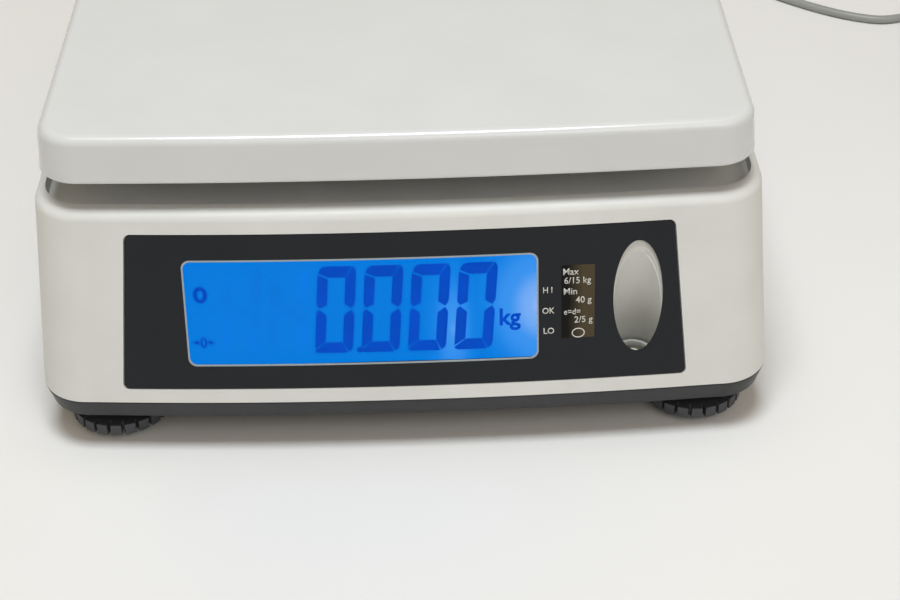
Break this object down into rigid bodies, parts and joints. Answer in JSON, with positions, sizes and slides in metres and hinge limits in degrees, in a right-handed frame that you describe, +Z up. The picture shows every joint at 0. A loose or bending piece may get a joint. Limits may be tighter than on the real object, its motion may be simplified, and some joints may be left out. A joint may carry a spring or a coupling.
{
  "type": "counter weighing scale",
  "caption": "Low counter scale with lift-off platter, backlit customer display in a leaning dark front panel, oval level sight-hole, operator console, screw feet and power lead.",
  "frame": {"origin": "at floor level under the middle of the housing", "axes": "+Z up; +Y from the customer display to the operator console; +X to the right as the customer sees it"},
  "size_m": [0.4755, 0.3907, 0.1205],
  "materials": {
    "light_plastic": "semi-gloss moulded, warm light grey",
    "platter_finish": "glossy, warm light grey",
    "dark_plastic": "satin, dark grey",
    "panel_film": "satin printed film, near black",
    "clear_window": "clear",
    "lcd_glass": "blue backlit display",
    "diffuser": "translucent white",
    "circuit_board": "green solder mask",
    "cast_aluminium": "as cast and milled",
    "steel": "zinc plated",
    "black_plastic": "matte black",
    "rubber": "matte black",
    "key_plastic": "satin light grey",
    "lead_sheath": "satin grey PVC"
  },
  "bodies": {
    "housing": {"upper_housing": "light_plastic", "lower_housing": "dark_plastic", "front_panel": "panel_film", "front_window": "clear_window", "front_lcd": "lcd_glass", "front_backlight": "diffuser", "front_display_board": "circuit_board", "level_cup": "light_plastic", "level_vial": "clear_window", "console_panel": "panel_film", "console_window": "clear_window", "console_lcd": "lcd_glass", "console_backlight": "diffuser", "console_board": "circuit_board", "load_cell": "cast_aluminium", "cell_fixed_screw_1": "steel", "cell_fixed_screw_2": "steel", "overload_stop_screw": "steel", "cell_fixed_spacer": "steel", "main_board": "circuit_board", "battery": "black_plastic", "power_jack": "black_plastic", "lead_plug": "black_plastic", "power_lead": "lead_sheath", "power_lead_end": "lead_sheath", "lead_coil": "lead_sheath", "mains_adapter": "black_plastic", "housing_screw_1": "steel", "housing_screw_2": "steel", "housing_screw_3": "steel", "housing_screw_4": "steel"},
    "platter_carrier": {"platter_cross": "cast_aluminium", "cell_free_spacer": "steel", "cell_free_screw_1": "steel", "cell_free_screw_2": "steel", "platter_seat_front_left": "rubber", "platter_seat_front_right": "rubber", "platter_seat_rear_left": "rubber", "platter_seat_rear_right": "rubber"},
    "platter": {"platter": "platter_finish"},
    "battery_cover": {"battery_cover": "dark_plastic"},
    "key_zero": {"key_zero": "key_plastic"},
    "key_tare": {"key_tare": "key_plastic"},
    "key_units": {"key_units": "key_plastic"},
    "key_count": {"key_count": "key_plastic"},
    "key_light": {"key_light": "key_plastic"},
    "key_power": {"key_power": "key_plastic"},
    "foot_pad_front_left": {"foot_pad_front_left": "rubber"},
    "foot_knob_front_left": {"foot_knob_front_left": "black_plastic"},
    "foot_pad_front_right": {"foot_pad_front_right": "rubber"},
    "foot_knob_front_right": {"foot_knob_front_right": "black_plastic"},
    "foot_pad_rear_left": {"foot_pad_rear_left": "rubber"},
    "foot_knob_rear_left": {"foot_knob_rear_left": "black_plastic"},
    "foot_pad_rear_right": {"foot_pad_rear_right": "rubber"},
    "foot_knob_rear_right": {"foot_knob_rear_right": "black_plastic"}
  },
  "joints": [
    {"name": "load_cell_deflection", "type": "slide", "parent": "housing", "child": "platter_carrier", "axis": [0, 0, 1], "range_m": [-0.0005, 0], "stiffness_N_per_m": 300000, "deforming": ["load_cell"]},
    {"name": "platter_lift", "type": "slide", "parent": "platter_carrier", "child": "platter", "axis": [0, 0, 1], "range_m": [0, 0.055]},
    {"name": "battery_cover_drop", "type": "slide", "parent": "housing", "child": "battery_cover", "axis": [0, 0, 1], "range_m": [-0.01, 0]},
    {"name": "key_zero_press", "type": "slide", "parent": "housing", "child": "key_zero", "axis": [0, -0.5299, -0.848], "range_m": [0, 0.0008], "stiffness_N_per_m": 700, "springref_m": -0.0005},
    {"name": "key_tare_press", "type": "slide", "parent": "housing", "child": "key_tare", "axis": [0, -0.5299, -0.848], "range_m": [0, 0.0008], "stiffness_N_per_m": 700, "springref_m": -0.0005},
    {"name": "key_units_press", "type": "slide", "parent": "housing", "child": "key_units", "axis": [0, -0.5299, -0.848], "range_m": [0, 0.0008], "stiffness_N_per_m": 700, "springref_m": -0.0005},
    {"name": "key_count_press", "type": "slide", "parent": "housing", "child": "key_count", "axis": [0, -0.5299, -0.848], "range_m": [0, 0.0008], "stiffness_N_per_m": 700, "springref_m": -0.0005},
    {"name": "key_light_press", "type": "slide", "parent": "housing", "child": "key_light", "axis": [0, -0.5299, -0.848], "range_m": [0, 0.0008], "stiffness_N_per_m": 700, "springref_m": -0.0005},
    {"name": "key_power_press", "type": "slide", "parent": "housing", "child": "key_power", "axis": [0, -0.5299, -0.848], "range_m": [0, 0.0008], "stiffness_N_per_m": 700, "springref_m": -0.0005},
    {"name": "foot_height_front_left", "type": "slide", "parent": "housing", "child": "foot_pad_front_left", "axis": [0, 0, 1], "range_m": [-0.00501, 0.00251]},
    {"name": "foot_turn_front_left", "type": "hinge", "parent": "foot_pad_front_left", "child": "foot_knob_front_left", "pos_m": [-0.1065, -0.1175, 0.006], "axis": [0, 0, 1], "range_deg": [-1440, 720]},
    {"name": "foot_height_front_right", "type": "slide", "parent": "housing", "child": "foot_pad_front_right", "axis": [0, 0, 1], "range_m": [-0.00501, 0.00251]},
    {"name": "foot_turn_front_right", "type": "hinge", "parent": "foot_pad_front_right", "child": "foot_knob_front_right", "pos_m": [0.1065, -0.1175, 0.006], "axis": [0, 0, 1], "range_deg": [-1440, 720]},
    {"name": "foot_height_rear_left", "type": "slide", "parent": "housing", "child": "foot_pad_rear_left", "axis": [0, 0, 1], "range_m": [-0.00501, 0.00251]},
    {"name": "foot_turn_rear_left", "type": "hinge", "parent": "foot_pad_rear_left", "child": "foot_knob_rear_left", "pos_m": [-0.1065, 0.1175, 0.006], "axis": [0, 0, 1], "range_deg": [-1440, 720]},
    {"name": "foot_height_rear_right", "type": "slide", "parent": "housing", "child": "foot_pad_rear_right", "axis": [0, 0, 1], "range_m": [-0.00501, 0.00251]},
    {"name": "foot_turn_rear_right", "type": "hinge", "parent": "foot_pad_rear_right", "child": "foot_knob_rear_right", "pos_m": [0.1065, 0.1175, 0.006], "axis": [0, 0, 1], "range_deg": [-1440, 720]}
  ],
  "couplings": [
    {"joint": "foot_height_front_left", "follows": "foot_turn_front_left", "m_per_rad": 0.00019894},
    {"joint": "foot_height_front_right", "follows": "foot_turn_front_right", "m_per_rad": 0.00019894},
    {"joint": "foot_height_rear_left", "follows": "foot_turn_rear_left", "m_per_rad": 0.00019894},
    {"joint": "foot_height_rear_right", "follows": "foot_turn_rear_right", "m_per_rad": 0.00019894}
  ]
}
